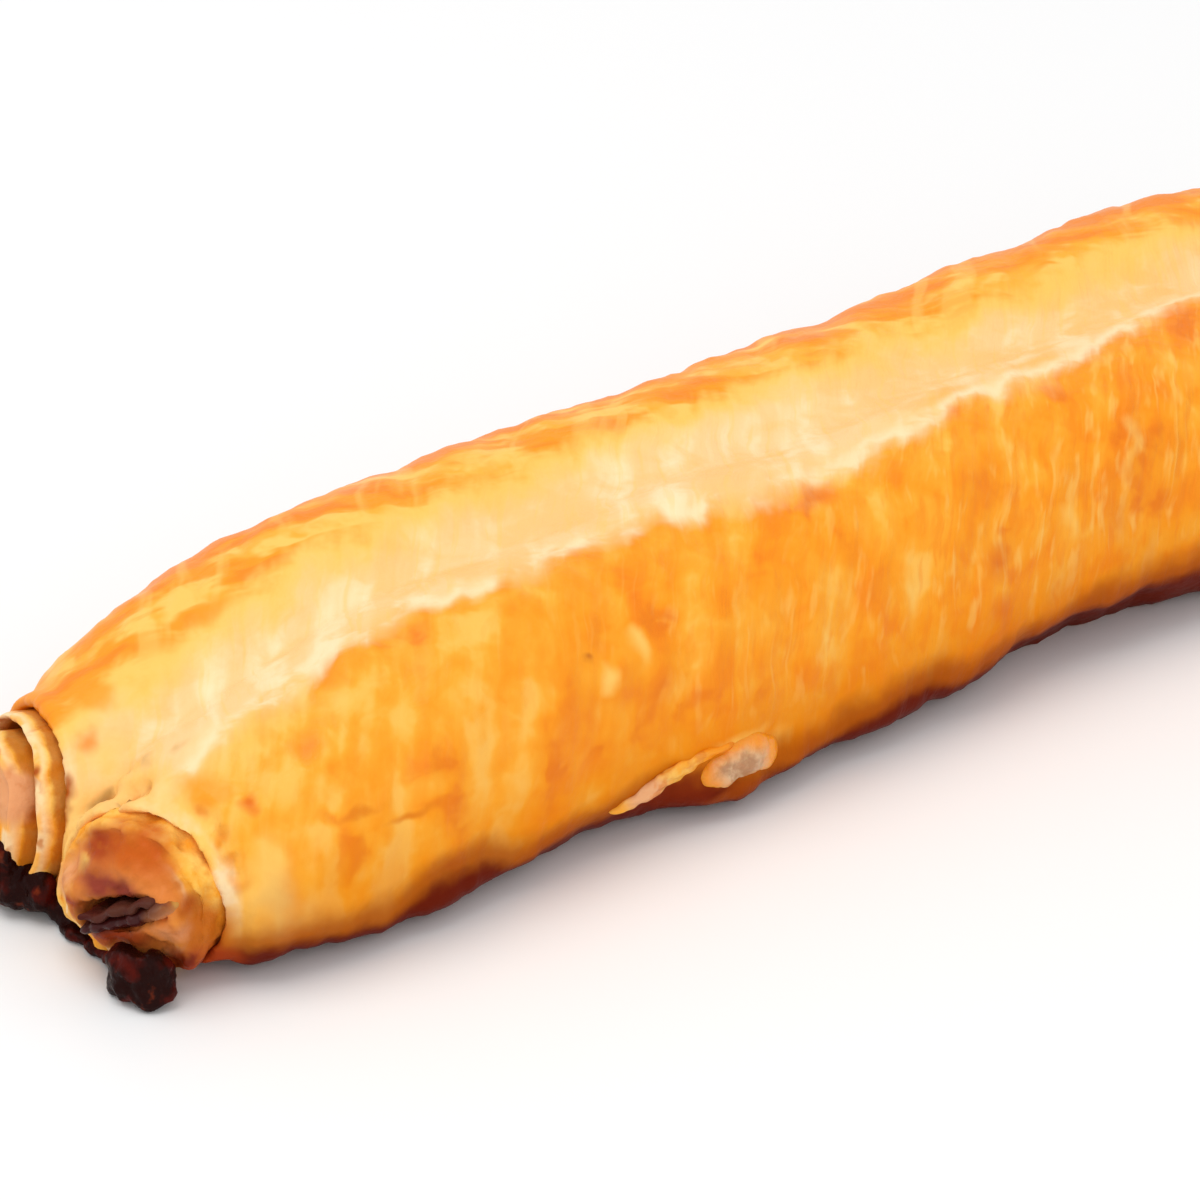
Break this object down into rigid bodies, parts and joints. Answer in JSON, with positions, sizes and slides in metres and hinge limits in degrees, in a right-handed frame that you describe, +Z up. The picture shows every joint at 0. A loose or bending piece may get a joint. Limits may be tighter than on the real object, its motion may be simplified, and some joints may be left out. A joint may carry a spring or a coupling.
{
  "type": "ham and cheese pastry",
  "caption": "Long baked puff pastry of two parallel rolls joined by a shallow pale valley, with ham and melted cheese showing at the open ends.",
  "frame": {"origin": "under the middle of the pastry, on the surface it rests on", "axes": "+X along the rolls from the end nearest the camera, -Y towards the front roll, +Z up"},
  "size_m": [0.2318, 0.0592, 0.0335],
  "materials": {
    "pastry": "egg-glazed puff pastry, golden orange with a pale cream valley and a dark base",
    "ham": "baked ham, moist",
    "cheese": "melted cheese, soft gloss",
    "burnt_cheese": "burnt cheese, nearly black, glossy in places"
  },
  "bodies": {
    "root": {"pastry": "pastry", "ham_front": "ham", "ham_back": "ham", "cheese_front": "cheese", "cheese_back": "cheese", "cheese_leak": "cheese", "burnt_cheese_near": "burnt_cheese", "burnt_cheese_far": "burnt_cheese"}
  },
  "joints": []
}
